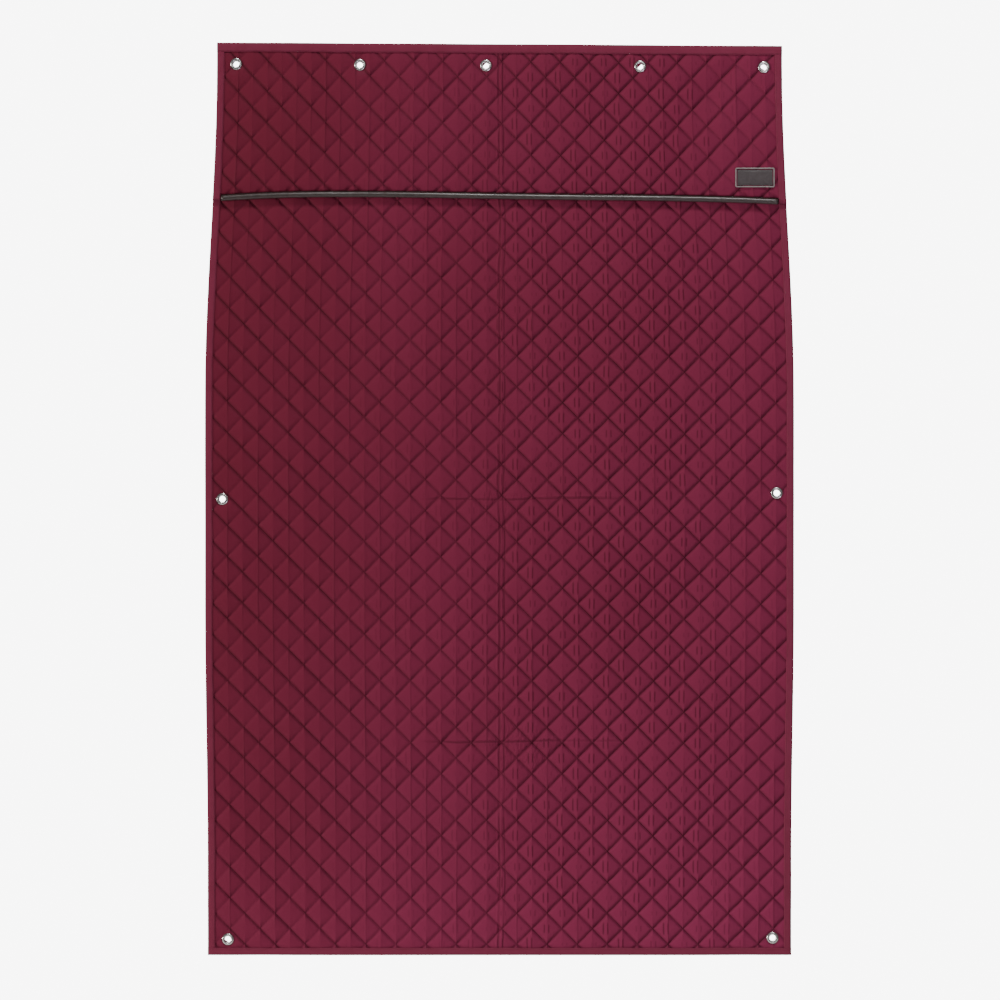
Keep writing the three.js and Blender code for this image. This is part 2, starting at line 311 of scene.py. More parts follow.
    # The cloth is crumpled where the packing folds cross.
    crumple = reliefs["pucker"]
    for spotX, spotZ in quilting["crumpled"]:
        squares = [add("Math", add("Math", value, spot, **minus), 2.0, **power)
                   for value, spot in ((x, spotX), (z, spotZ))]
        away = add("Math", add("Math", *squares, **plus), 0.5, **power)
        nearby = add("MapRange", away, 0.02, 0.085, reliefs["crumple"], 0.0, **eased)
        crumple = add("Math", crumple, nearby, **plus)
    relief = add("Math", pucker, crumple, **times)
    steep = add("Math", add("Math", 0.5, chance, **plus), reliefs["roof"], **times)
    relief = add("Math", relief, add("Math", roof, steep, **times), **plus)
    for mask, height in ((weave, reliefs["weave"]), (thread, reliefs["thread"]),
                         (halo, -reliefs["channel"]), (pleat, -reliefs["pleat"]),
                         (crest, reliefs["crease"]), (dip, -reliefs["crease"]),
                         (column, reliefs["column"])):
        relief = add("Math", relief, add("Math", mask, height, **times), **plus)
    cloudy = add("TexNoise", uv, Scale=1 / patterns["cloudy"], Detail=2.0)
    plugIn(shader, {
        "Base Color": baseWithPaintedShade,
        "Normal": add("Bump", Height=relief, Strength=0.85, Distance=1.0),
        "Roughness": add("MapRange", cloudy, 0.0, 1.0, colours["smoothest"], colours["roughest"]),
        "Sheen Weight": 0.12, "Sheen Roughness": 0.4, "Sheen Tint": toLinear("#b04a6c"),
        "Specular IOR Level": 0.1})
    return material


def tapeCloth():
    # Woven polyester binding tape: a plain rib across the tape and a dry, even surface.
    material, add, shader = newMaterial("woven_binding_tape")
    ribSpacing, puckerSize, mottleSize = 0.002244, 0.00833, 0.025
    uv = add("UVMap", uv_map="cloth")
    place = add("TexCoord", out="Object")
    mottle = add("TexNoise", uv, Scale=1 / mottleSize, Detail=3.0)
    # Painted sheen: the tape turns lighter and more plum to the right and lower down, and the
    # mottle adds a random tone.
    sheenAndTone = add("Math", add("Math", add("SeparateXYZ", place, out="X"), 0.12, **times),
               add("Math", add("SeparateXYZ", place, out="Z"), -0.08, **times), **plus)
    sheenAndTone = add("Math", sheenAndTone, add("Math", mottle, 0.5, **times), **plus)
    rib = add("TexWave", uv, Scale=math.pi / (10 * ribSpacing), Distortion=0.3,
              bands_direction="X", out="Fac")
    pucker = add("TexNoise", uv, Scale=1 / puckerSize, Detail=2.0)
    relief = add("Math", add("Math", rib, 0.00005, **times),
                 add("Math", pucker, 0.0006, **times), **plus)
    plugIn(shader, {
        "Base Color": add("Mix", Factor=sheenAndTone, A=toLinear("#7a2a40"), B=toLinear("#8e3a56"),
                          **blended),
        "Normal": add("Bump", Height=relief, Strength=0.7, Distance=1.0),
        "Roughness": 0.75, "Specular IOR Level": 0.12, "Sheen Weight": 0.1,
        "Sheen Tint": toLinear("#b04a6c")})
    return material


def plainFibre(name, dark, light, grain):
    # Loose polyester filling or cotton: pale, matt, cloudy.
    material, add, shader = newMaterial(name)
    cloud = add("TexNoise", add("UVMap", uv_map="cloth"), Scale=1 / grain, Detail=5.0)
    plugIn(shader, {
        "Base Color": add("Mix", Factor=cloud, A=toLinear(dark), B=toLinear(light), **blended),
        "Normal": add("Bump", Height=cloud, Strength=0.5, Distance=0.001), "Roughness": 0.95})
    return material


def glossyLeather(name, dark, light, grain, creases, onCloth):
    # Coated leathercloth: a thin gloss coat over a fine grain, with soft handling creases.
    material, add, shader = newMaterial(name)
    place = add("UVMap", uv_map="cloth") if onCloth else add("TexCoord", out="Object")
    cells = add("TexVoronoi", place, Scale=1 / grain, Randomness=1.0, feature="DISTANCE_TO_EDGE")
    fold = add("TexNoise", place, Scale=1 / creases, Detail=4.0, Distortion=1.2)
    relief = add("Math", add("Math", add("Math", cells, 0.3, **least), 0.0004, **times),
                 add("Math", fold, 0.0022, **times), **plus)
    plugIn(shader, {
        "Base Color": add("Mix", Factor=fold, A=toLinear(dark), B=toLinear(light), **blended),
        "Normal": add("Bump", Height=relief, Strength=0.6, Distance=1.0),
        "Roughness": add("MapRange", fold, 0.0, 1.0, 0.3, 0.5),
        "Coat Weight": 0.6, "Coat Roughness": 0.25})
    return material


def nickelPlate():
    # Nickel-plated brass, pressed and tumbled: bright, faintly warm, with soft scuffs.
    material, add, shader = newMaterial("nickel_plated_brass")
    scuffSize = 0.00238
    scuff = add("TexNoise", add("TexCoord", out="Object"), Scale=1 / scuffSize, Detail=4.0)
    plugIn(shader, {
        "Base Color": add("Mix", Factor=scuff, A=toLinear("#b8b6b2"), B=toLinear("#efeeec"),
                          **blended),
        "Roughness": add("MapRange", scuff, 0.0, 1.0, 0.14, 0.34), "Metallic": 1.0})
    return material


def pressedEdging():
    # Vinyl edging pressed round the patch: pale grey, glossy, a little uneven.
    material, add, shader = newMaterial("pressed_vinyl_edging")
    wearSize = 0.00625
    wear = add("TexNoise", add("TexCoord", out="Object"), Scale=1 / wearSize, Detail=3.0)
    plugIn(shader, {
        "Base Color": add("Mix", Factor=wear, A=toLinear("#6f6765"), B=toLinear("#a8a19e"),
                          **blended),
        "Normal": add("Bump", Height=wear, Strength=0.4, Distance=0.0005), "Roughness": 0.28})
    return material


# The channel colour is painted shade for the sewn channels, pleats and folds, and the plum colour
# is a painted sheen, low down and to the right.
faceColours = {"wine": "#702135", "plum": "#8e3053", "channel": "#2e050d",
               "smoothest": 0.55, "roughest": 0.7}
liningColours = {"wine": "#5e1826", "plum": "#6a1c30", "channel": "#30080f",
                 "smoothest": 0.7, "roughest": 0.85}
panelCloth = quiltedCloth("satin_weave_polyester", quilting["panelStart"], faceColours)
flapCloth = quiltedCloth("satin_weave_polyester_flap", quilting["flapStart"], faceColours)
panelLiningCloth = quiltedCloth("plain_weave_lining", quilting["panelStart"], liningColours)
flapLiningCloth = quiltedCloth("plain_weave_lining_flap", quilting["flapStart"], liningColours)
tapeMaterial = tapeCloth()
waddingMaterial = plainFibre("polyester_wadding", "#d9d6cf", "#f6f4f0", 1 / 60)
cordMaterial = plainFibre("twisted_cotton_cord", "#b9b2a4", "#ddd8cc", 1 / 300)
threadMaterial = plainFibre("polyester_sewing_thread", "#4e1826", "#8c4257", 0.002)
pipingMaterial = glossyLeather("black_leathercloth", "#1f1514", "#4c3f3b", 1 / 900, 1 / 60, True)
plateMaterial = glossyLeather("brown_patent_leather", "#332b2c", "#544a4b", 1 / 700, 1 / 70, False)
nickel = nickelPlate()
rimMaterial = pressedEdging()
print("materials made")


# The way the sheet hangs, a cloth simulation: negative shrinkage leaves it slack.
hangCloth = {"columns": 46, "rows": 70, "frames": 34, "most": 0.0055, "pinsAtEyelet": 4}
clothSettings = {"mass": 0.5, "quality": 8, "tension_stiffness": 40, "compression_stiffness": 40,
                 "shear_stiffness": 20, "bending_stiffness": 6, "shrink_min": -0.035,
                 "vertex_group_mass": "pins"}


def hangSheet():
    # A coarse copy of the sheet is pinned at its eyelets and let go; only the way it stands
    # off the wall is kept, as a field over the sheet.
    columns, rows = hangCloth["columns"], hangCloth["rows"]
    xs = np.linspace(-1, 1, columns)
    zs = np.linspace(topAt(0), bottomZ, rows)
    bpy.ops.mesh.primitive_grid_add(x_subdivisions=columns - 1, y_subdivisions=rows - 1, size=2)
    sheet = bpy.context.object
    sheet.name = "hangTrial"
    co = np.array([v.co for v in sheet.data.vertices])
    z = (topAt(0) + bottomZ) / 2 + co[:, 1] * (topAt(0) - bottomZ) / 2
    x = co[:, 0] * halfWidthAt(z)
    start = 0.0015 * np.sin(x * 21 + z * 9) + 0.001 * np.sin(x * 47 - z * 17)
    sheet.data.vertices.foreach_set("co", np.stack([x, start, z], 1).ravel())
    pins = sheet.vertex_groups.new(name="pins")
    for eyelet in eyelets:
        away = np.hypot(x - eyelet["x"], z - eyelet["z"])
        pins.add([int(k) for k in np.argsort(away)[:hangCloth["pinsAtEyelet"]]], 1.0, "REPLACE")
    cloth = sheet.modifiers.new("cloth", "CLOTH")
    for key, value in clothSettings.items():
        setattr(cloth.settings, key, value)
    cloth.collision_settings.use_collision = False
    scene = bpy.context.scene
    cloth.point_cache.frame_start = 1
    cloth.point_cache.frame_end = hangCloth["frames"]
    for frameNumber in range(1, hangCloth["frames"] + 1):
        scene.frame_set(frameNumber)
    settled = sheet.evaluated_get(bpy.context.evaluated_depsgraph_get()).to_mesh()
    lift = np.array([v.co.y for v in settled.vertices])
    order = np.lexsort((co[:, 0], -co[:, 1]))
    field = lift[order].reshape(rows, columns)
    bpy.data.objects.remove(sheet)
    scene.frame_set(1)
    for _ in range(2):                            # wipes out ripples finer than a diamond
        padded = np.pad(field, 1, mode="edge")
        field = (padded[1:-1, 1:-1] * 2 + padded[:-2, 1:-1] + padded[2:, 1:-1]
                 + padded[1:-1, :-2] + padded[1:-1, 2:]) / 6
    field = field - np.median(field)
    field = field / max(np.percentile(np.abs(field), 97), 1e-6)
    return xs, zs, hangCloth["most"] * np.tanh(field)


hangXs, hangZs, hangField = hangSheet()

# Soft valleys drawn by the weight between the eyelets: two ends, half width and depth.
pulls = [(-0.52, 0.0, -0.40, -0.02, 0.018, 0.0035), (-0.47, 0.03, -0.36, -0.075, 0.016, -0.0022),
         (0.50, 0.02, 0.44, -0.095, 0.020, 0.0042), (0.545, -0.05, 0.53, -0.17, 0.016, 0.0026),
         (0.40, 0.01, 0.33, -0.13, 0.022, -0.0026), (0.015, -0.01, 0.035, -0.20, 0.014, 0.0028),
         (-0.03, -0.04, -0.045, -0.22, 0.014, -0.002), (-0.27, -0.01, -0.20, -0.12, 0.020, 0.0018)]


def pulledAt(x, z):
    total = 0
    for x0, z0, x1, z1, halfWidth, depth in pulls:
        length = math.hypot(x1 - x0, z1 - z0)
        alongX, alongZ = (x1 - x0) / length, (z1 - z0) / length
        along = (x - x0) * alongX + (z - z0) * alongZ
        off = (x - x0) * alongZ - (z - z0) * alongX
        begins = smooth(along, -0.3 * length, 0.25 * length)
        ends = smooth(along, 0.6 * length, 1.4 * length)
        total = total + depth * np.exp(-(off / halfWidth) ** 2) * begins * (1 - ends)
    return total


def hangAt(x, z):
    # Bilinear reading of the field, faded out at the eyelets, which the frame holds in place.
    u = np.interp(x / halfWidthAt(z), hangXs, np.arange(len(hangXs)))
    v = np.interp(-z, -hangZs, np.arange(len(hangZs)))
    i = np.clip(np.floor(u).astype(int), 0, len(hangXs) - 2)
    j = np.clip(np.floor(v).astype(int), 0, len(hangZs) - 2)
    fu, fv = u - i, v - j
    fu, fv = fu * fu * (3 - 2 * fu), fv * fv * (3 - 2 * fv)
    value = (hangField[j, i] * (1 - fu) * (1 - fv) + hangField[j, i + 1] * fu * (1 - fv)
             + hangField[j + 1, i] * (1 - fu) * fv + hangField[j + 1, i + 1] * fu * fv)
    value = value + pulledAt(x, z) * smooth(topAt(x) - z, 0.02, 0.045)
    for eyelet in eyelets:
        away = np.hypot(x - eyelet["x"], z - eyelet["z"])
        value = value * smooth(away, 0.012, 0.07)
    return value


print("sheet hung, lift from %.4f to %.4f" % (hangField.min(), hangField.max()))


def makePiece(name, points, faces, uvs, material, turnOut=False):
    mesh = bpy.data.meshes.new(name)
    mesh.from_pydata(np.asarray(points).tolist(), [], faces)
    loops = np.empty(len(mesh.loops), np.int32)
    mesh.loops.foreach_get("vertex_index", loops)
    layer = mesh.uv_layers.new(name="cloth")
    layer.data.foreach_set("uv", np.asarray(uvs, np.float32)[loops].ravel())
    mesh.materials.append(material)
    if turnOut:
        shape = bmesh.new()
        shape.from_mesh(mesh)
        bmesh.ops.recalc_face_normals(shape, faces=shape.faces)
        shape.to_mesh(mesh)
        shape.free()
    mesh.polygons.foreach_set("use_smooth", [True] * len(mesh.polygons))
    mesh.update()
    piece = bpy.data.objects.new(name, mesh)
    bpy.context.scene.collection.objects.link(piece)
    return piece


def sweep(name, centres, sections, uvAlong, material, uvAround):
    # Closed section loops joined along a path, with both ends closed.
    count, around = sections.shape[:2]
    points = (centres[:, None, :] + sections).reshape(-1, 3)
    faces = []
    for first in range(0, (count - 1) * around, around):
        for k in range(around):
            n = (k + 1) % around
            faces.append((first + k, first + n, first + around + n, first + around + k))
    faces.append(tuple(range(around)))
    faces.append(tuple(reversed(range((count - 1) * around, count * around))))
    uvs = np.stack([np.repeat(uvAlong, around), np.tile(uvAround, count)], 1)
    return makePiece(name, points, faces, uvs, material, turnOut=True)


# Lines across each diamond, closer together beside the sewn channels.
cellSteps = [0.0, 0.05, 0.17, 0.5, 0.83, 0.95]
puff = {"channelHalf": 0.0010, "front": 0.0034, "back": 0.0013, "sharpness": 0.34, "roof": 0.26,
        "flute": 0.0007, "crease": 0.0024, "pinch": 0.3, "cloth": 0.00038, "gap": 0.00008}
# The sheets stop short of the tape's fold, are cut wider than each eyelet's tube, and on the flap
# end just above the piping.
cut = {"inset": 0.0012, "hole": 0.0088, "seam": 0.0078, "spare": 0.03}


def flatGrid(start, width, length):
    # The lattice laid flat and trimmed to the cut piece, from its top edge down.
    pitchX, pitchZ = quilting["pitchX"], quilting["pitchZ"]
    reachA = int((width / 2 / pitchX + length / pitchZ) + 4)
    lines = np.array([n + s for n in range(-reachA, reachA) for s in cellSteps])
    a, b = np.meshgrid(lines, lines, indexing="ij")
    x = (a + b) / 2 * pitchX + start[0]
    z = (a - b) / 2 * pitchZ + start[1]
    spare = cut["spare"]
    inside = (np.abs(x) < width / 2 + spare) & (z < spare) & (z > -length - spare)
    keep = inside[:-1, :-1] & inside[1:, :-1] & inside[1:, 1:] & inside[:-1, 1:]
    number = np.full(x.shape, -1)
    rows, cols = np.nonzero(keep)
    used = np.zeros(x.shape, bool)
    for di, dj in ((0, 0), (1, 0), (1, 1), (0, 1)):
        used[rows + di, cols + dj] = True
    number[used] = np.arange(used.sum())
    points = np.stack([x[used], np.zeros(used.sum()), z[used]], 1)
    corners = [number[rows, cols + 1], number[rows + 1, cols + 1],
               number[rows + 1, cols], number[rows, cols]]
    mesh = bpy.data.meshes.new("flatGrid")
    mesh.from_pydata(points.tolist(), [], np.stack(corners, 1).tolist())
    shape = bmesh.new()
    shape.from_mesh(mesh)
    for place, out in (((width / 2, 0, 0), (1, 0, 0)), ((-width / 2, 0, 0), (-1, 0, 0)),
                       ((0, 0, 0), (0, 0, 1)), ((0, 0, -length), (0, 0, -1))):
        everything = list(shape.verts) + list(shape.edges) + list(shape.faces)
        bmesh.ops.bisect_plane(shape, geom=everything, plane_co=place, plane_no=out,
                               clear_outer=True, dist=1e-4)
    shape.verts.ensure_lookup_table()
    flat = np.array([(v.co.x, v.co.z) for v in shape.verts])
    faces = [[v.index for v in f.verts] for f in shape.faces]
    for f, corner in zip(shape.faces, faces):
        if f.normal.y > 0:
            corner.reverse()
    shape.free()
    bpy.data.meshes.remove(mesh)
    return flat, faces


def punchEyelets(x, z, faces):
    # Faces inside each eyelet go, and the ragged edge that is left is drawn to a circle.
    radius = cut["hole"]
    for eyelet in eyelets:
        away = np.hypot(x - eyelet["x"], z - eyelet["z"])
        near = [f for f in faces if min(away[k] for k in f) < 0.03]
        if not near:
            continue
        gone = {id(f) for f in near
                if math.hypot(x[f].mean() - eyelet["x"], z[f].mean() - eyelet["z"]) < radius}
        lost = {k for f in near if id(f) in gone for k in f}
        faces = [f for f in faces if id(f) not in gone]
        left = {k for f in near if id(f) not in gone for k in f}
        for k in lost & left:
            scale = radius / max(away[k], 1e-6)
            x[k] = eyelet["x"] + (x[k] - eyelet["x"]) * scale
            z[k] = eyelet["z"] + (z[k] - eyelet["z"]) * scale
    return faces


def channelStrength(flat, isFlap):
    # The sheet is drawn tight towards its left edge and, on the flap, towards its right corner,
    # and the channels that run along the pull stand out while the other family goes slack.
    left = smooth(-flat[:, 0], 0.14, 0.42)
    corner = smooth(flat[:, 0], 0.34, 0.52) * (1.0 if isFlap else 0.35)
    fullness = 0.6 + 0.4 * smooth(flat[:, 0], -0.2, 0.25)
    strengthA = (fullness + 0.3 * left) * (1 - 0.75 * corner)
    strengthB = fullness * (1 - 0.85 * left)
    pleats = 0.3 + 0.7 * smooth(flat[:, 0], -0.15, 0.1)
    pleats = pleats * smooth(flat[:, 0], -0.42, -0.2) * (1 - 0.8 * smooth(flat[:, 0], 0.42, 0.55))
    return strengthA, strengthB, pleats


def cushions(flat, strengthA, strengthB, start):
    # How full each point of the quilting is, 0 in a channel to about 1 on a cushion.
    a = (flat[:, 0] - start[0]) / quilting["pitchX"] + (flat[:, 1] - start[1]) / quilting["pitchZ"]
    b = (flat[:, 0] - start[0]) / quilting["pitchX"] - (flat[:, 1] - start[1]) / quilting["pitchZ"]
    cellA, cellB = np.floor(a + 1e-6), np.floor(b + 1e-6)
    shareA, shareB = np.clip(a - cellA, 0, 1), np.clip(b - cellB, 0, 1)
    sharp = puff["sharpness"]
    fullA = 1 - (1 - np.sin(np.pi * shareA) ** sharp) * (0.3 + 0.7 * strengthA)
    fullB = 1 - (1 - np.sin(np.pi * shareB) ** sharp) * (0.3 + 0.7 * strengthB)
    size = 0.82 + 0.3 * scatter(cellA, cellB, 1)
    tilt = (shareA - 0.5) * (scatter(cellA, cellB, 2) - 0.5)
    tilt = tilt + (shareB - 0.5) * (scatter(cellA, cellB, 3) - 0.5)
    full = np.clip(fullA, 0, 1) * np.clip(fullB, 0, 1)
    # The low roof over each cushion, highest along its upright middle.
    roof = 1 - np.abs(shareA + shareB - 1) / np.maximum(1 - np.abs(shareA - shareB), 0.08)
    crown = puff["roof"] * (roof - 1)
    return full * (size + crown + 0.35 * tilt * np.sin(np.pi * shareA) * np.sin(np.pi * shareB))


def flutes(flat, start):
    # Shallow upright folds along every column of crossings.
    u = (flat[:, 0] - start[0]) / (quilting["pitchX"] / 2)
    wave = 1 - 4 * np.abs(u - np.floor(u) - 0.5)
    column = np.floor(u + 0.5)
    strength = 0.35 + 0.65 * scatter(column, np.floor(flat[:, 1] / 0.19), 5)
    sides = 0.5 + 0.5 * smooth(np.abs(flat[:, 0]), 0.1, 0.35)
    return -wave * strength * sides


# Folds left from packing: one upright down the middle, and two level ones by height and ends.
creases = {"upright": 0.002, "levels": ((-0.927, -0.15, 0.26), (-1.450, -0.19, 0.26)),
           "halfWidth": 0.004, "fade": 0.08, "levelStrength": 1.2}


def packingCreases(x, z):
    # Each is a raised line beside a sunk one.
    halfWidth, fade = creases["halfWidth"], creases["fade"]
    off = x - creases["upright"] - 0.004 * np.sin(z * 5.1 + 0.6)
    upright = np.exp(-(off / 0.0045) ** 2) - 0.8 * np.exp(-((off - 0.01) / halfWidth) ** 2)
    level = 0
    for height, left, right in creases["levels"]:
        off = z - height - 0.003 * np.sin(x * 31)
        along = smooth(x, left, left + fade) * (1 - smooth(x, right - fade, right))
        level = level + along * (np.exp(-(off / halfWidth) ** 2)
                                 - 0.7 * np.exp(-((off - 0.009) / halfWidth) ** 2))
    return upright + creases["levelStrength"] * level


def trimLoose(flat, faces):
    used = np.unique(np.concatenate([np.array(f) for f in faces]))
    renumber = np.full(len(flat), -1)
    renumber[used] = np.arange(len(used))
    return used, [[int(renumber[k]) for k in f] for f in faces]


# The filling is pressed flat by the piping's flange, and is squeezed thin where the flap bends.
thinned = {"flange": (0.013, 0.032), "leftOver": 0.00015, "bend": (0.036, 0.06), "belowFold": 0.008,
           "share": 0.45}


def quiltedStack(label, flat, faces, x, z, start, mid, edgeDistance, cloths, nodes, extra,
                 pressed=0.0, squeezed=0.0):
    # Face, filling and lining share one lattice, so they nest: each is a closed thin sheet.
    strengthA, strengthB, pleats = channelStrength(flat, label == "flap")
    full = cushions(flat, strengthA, strengthB, start)
    calm = puff["pinch"] + (1 - puff["pinch"]) * smooth(edgeDistance, 0.015, 0.03)
    # The cloth is calm beside each eyelet and flat under its rim.
    ring = np.zeros(len(x))
    for eyelet in eyelets:
        away = np.hypot(x - eyelet["x"], z - eyelet["z"])
        calm = calm * (0.15 + 0.85 * smooth(away, 0.014, 0.034))
        ring = np.maximum(ring, 1 - smooth(away, 0.0125, 0.0165))
    front = puff["channelHalf"] + puff["front"] * full * calm
    back = puff["channelHalf"] + puff["back"] * full * calm
    front = front * (1 - ring) + stackHalf * ring
    back = back * (1 - ring) + stackHalf * ring
    rough = puff["flute"] * flutes(flat, start) + puff["crease"] * extra
    centre = mid + hangAt(x, z) + rough * calm * (1 - ring)
    cloth, gap = puff["cloth"], puff["gap"]
    near, far = centre - front + cloth + gap, centre + back - cloth - gap
    near = near * (1 - pressed) + (far - thinned["leftOver"]) * pressed
    squeezed = thinned["share"] * squeezed
    near, far = near + squeezed * (far - near), far + squeezed * (near - far)
    levels = {"face": (centre - front, centre - front + cloth),
              "filling": (near, far),
              "lining": (centre + back - cloth, centre + back)}
    edges = {}
    for f in faces:
        for i, j in zip(f, f[1:] + f[:1]):
            if (j, i) in edges:
                del edges[(j, i)]
            else:
                edges[(i, j)] = True
    count = len(x)
    allFaces = [tuple(f) for f in faces]
    allFaces += [tuple(k + count for k in f[:1] + f[:0:-1]) for f in faces]
    allFaces += [(j, i, i + count, j + count) for i, j in edges]
    uvs = np.vstack([flat, flat])
    pieces = {}
    for layer, (near, far) in levels.items():
        points = np.vstack([np.stack([x, near, z], 1), np.stack([x, far, z], 1)])
        piece = makePiece(label + layer.capitalize(), points, allFaces, uvs, cloths[layer])
        for key, values in (("channelA", strengthA), ("channelB", strengthB), ("pleats", pleats)):
            stored = piece.data.attributes.new(key, "FLOAT", "POINT")
            stored.data.foreach_set("value", np.tile(values, 2).astype(np.float32))
        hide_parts(*nodes[layer])
        pieces[layer] = piece
    print(label, "quilted,", len(pieces["face"].data.polygons), "faces a layer")
    return pieces


def panelStack():
    inset = cut["inset"]
    width, length = 2 * (clothHalf - inset), height - 2 * inset
    flat, faces = flatGrid(quilting["panelStart"], width, length)
    down = (-flat[:, 1] + inset) / height
    rough = topAt(0) * (1 - down) + bottomZ * down
    x = flat[:, 0] / (width / 2) * (halfWidthAt(rough) - inset)
    z = topAt(x) * (1 - down) + bottomZ * down
    faces = punchEyelets(x, z, faces)
    used, faces = trimLoose(flat, faces)
    flat, x, z = flat[used], x[used], z[used]
    edge = np.minimum(halfWidthAt(z) - np.abs(x), np.minimum(topAt(x) - z, z - bottomZ))
    cloths = {"face": panelCloth, "filling": waddingMaterial, "lining": panelLiningCloth}
    nodes = {"face": ["panel_face"], "filling": ["panel_wadding"], "lining": ["panel_lining"]}
    pieces = quiltedStack("panel", flat, faces, x, z, quilting["panelStart"], panelMid, edge,
                          cloths, nodes, packingCreases(x, z))
    return pieces, (width, length)


def flapStack():
    # The cloth ends just above the piping.
    inset, hem = cut["inset"], cut["seam"]
    width = 2 * (clothHalf - inset)
    length = topAt(0) - inset - (pipingAt(0) + hem)
    flat, faces = flatGrid(quilting["flapStart"], width, length)
    share = -flat[:, 1] / length
    rough = topAt(0) - inset + flat[:, 1]
    x = flat[:, 0] / (width / 2) * (halfWidthAt(rough) - inset)
    z = (topAt(x) - inset) * (1 - share) + (pipingAt(x) + hem) * share
    faces = punchEyelets(x, z, faces)
    used, faces = trimLoose(flat, faces)
    flat, x, z = flat[used], x[used], z[used]
    edge = np.minimum(halfWidthAt(z) - np.abs(x), np.minimum(topAt(x) - z, z - pipingAt(x)))
    pressed = 1 - smooth(z - pipingAt(x), *thinned["flange"])
    squeezed = 1 - smooth(np.abs(z - foldLine[2] + thinned["belowFold"]), *thinned["bend"])
    cloths = {"face": flapCloth, "filling": waddingMaterial, "lining": flapLiningCloth}
    nodes = {"face": ["flap_head_face", "flap_face"],
             "filling": ["flap_head_wadding", "flap_wadding"],
             "lining": ["flap_head_lining", "flap_lining"]}
    pieces = quiltedStack("flap", flat, faces, x, z, quilting["flapStart"], flapMid, edge,
                          cloths, nodes, 0.6 * packingCreases(x, z), pressed, squeezed)
    return pieces, (width, length)


panelPieces, panelFlat = panelStack()
flapPieces, flapFlat = flapStack()

# The tape's profile is its depth into the cloth, and its height out of the middle of it.
tape = {"thickness": 0.0007, "step": 0.006, "pucker": 0.0003, "wander": 0.0005, "proud": 0.0011,
        "cornerGap": 0.0011}
tapeProfile = [(1.0, -1.0), (0.82, -1.05), (0.5, -1.08), (0.25, -1.02), (0.08, -0.82),
               (0.0, -0.4), (0.0, 0.4), (0.08, 0.82), (0.25, 1.02), (0.5, 1.08),
               (0.82, 1.05), (1.0, 1.0)]


def foldedTape(name, xs, zs, inward, mid, half, width, seed):
    # A strip folded over an edge: outside skin, then the inside one back again.
    count = len(xs)
    along = np.concatenate([[0], np.cumsum(np.hypot(np.diff(xs), np.diff(zs)))])
    ripple = (np.sin(along * 520 + seed) + np.sin(along * 343 + 2 * seed)
              + np.sin(along * 911 + 3 * seed)) / 3
    drift = np.sin(along * 39 + seed) * np.sin(along * 17 + seed)
    skin = np.array(tapeProfile)
    depth = half + tape["pucker"] * ripple
    reach = width + tape["wander"] * drift + tape["wander"] * 0.5 * ripple
    outer = np.stack([skin[None, :, 0] * reach[:, None], skin[None, :, 1] * depth[:, None]], 2)
    hollow = tape["thickness"]
    innerAcross = np.maximum(outer[:, :, 0], hollow)
    innerAcross[:, [0, -1]] = outer[:, [0, -1], 0]
    innerDepth = skin[None, :, 1] * (depth[:, None] - hollow)
    inner = np.stack([innerAcross, innerDepth], 2)[:, ::-1]
    loop = np.concatenate([outer, inner], 1)
    sections = np.stack([loop[:, :, 0] * inward[:, None, 0], loop[:, :, 1],
                         loop[:, :, 0] * inward[:, None, 1]], 2)
    centres = np.stack([xs, mid, zs], 1)
    across = np.concatenate([skin[:, 0] * width, skin[::-1, 0] * width])
    across[:len(skin) // 2] *= -1
    return sweep(name, centres, sections, along, tapeMaterial, across)


def sideTape(name, sign, high, low, mid, half, nodes, seed):
    zs = np.linspace(high, low, int((high - low) / tape["step"]))
    xs = sign * halfWidthAt(zs)
    inward = np.stack([np.full(len(zs), -sign), np.zeros(len(zs))], 1).astype(float)
    lift = mid + hangAt(xs - sign * sideWidth / 2, zs)
    piece = foldedTape(name, xs, zs, inward, lift, half, sideWidth, seed)
    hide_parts(*nodes)
    return piece


def levelTape(name, xs, zs, down, mid, half, width, node, seed):
    inward = np.stack([np.zeros(len(xs)), np.full(len(xs), -1.0 if down else 1.0)], 1)
    inset = -width / 2 if down else width / 2
    lift = mid + hangAt(xs, zs + inset)
    piece = foldedTape(name, xs, zs, inward, lift, half, width, seed)
    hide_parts(node)
    return piece


sideHalf = stackHalf + tape["proud"]
tapes = {}
for side, sign in (("Left", -1), ("Right", 1)):
    cornerTop = topAt(sign * clothHalf) - tape["cornerGap"]
    tapes["panel" + side] = sideTape(
        "panelTape" + side, sign, cornerTop, bottomZ + tape["cornerGap"], panelMid, sideHalf,
        ["binding_" + side.lower()], 1 + sign)
    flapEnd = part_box("flap_binding_" + side.lower())[0].z
    tapes["flap" + side] = sideTape(
        "flapTape" + side, sign, cornerTop, flapEnd, flapMid, sideHalf,
        ["flap_head_binding_" + side.lower(), "flap_binding_" + side.lower()], 4 + sign)
fullest = max(depth for reach, depth in tapeProfile)
topXs = np.linspace(topEnds[0], topEnds[1], int(np.ptp(topEnds) / tape["step"]))
topMid = (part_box("binding_top")[0].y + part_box("binding_top")[1].y) / 2
topHalf = (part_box("binding_top")[1].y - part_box("binding_top")[0].y) / 2 / fullest
tapes["top"] = levelTape("headTape", topXs, topAt(topXs), True, topMid, topHalf, topWidth,
                         "binding_top", 7)
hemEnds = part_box("binding_bottom")
hemXs = np.linspace(hemEnds[0].x, hemEnds[1].x, int((hemEnds[1].x - hemEnds[0].x) / tape["step"]))
hemMid = (hemEnds[0].y + hemEnds[1].y) / 2
hemHalf = (hemEnds[1].y - hemEnds[0].y) / 2 / fullest
hemLine = np.full(len(hemXs), bottomZ)
tapes["hem"] = levelTape("hemTape", hemXs, hemLine, False, hemMid, hemHalf, bottomWidth,
                         "binding_bottom", 9)
print("tapes folded")

seam = {"pitch": 0.0044, "length": 0.0032, "radius": 0.00035, "fromEdge": 0.0024, "clear": 0.004,
        "proud": 1.04, "lift": 0.0001}


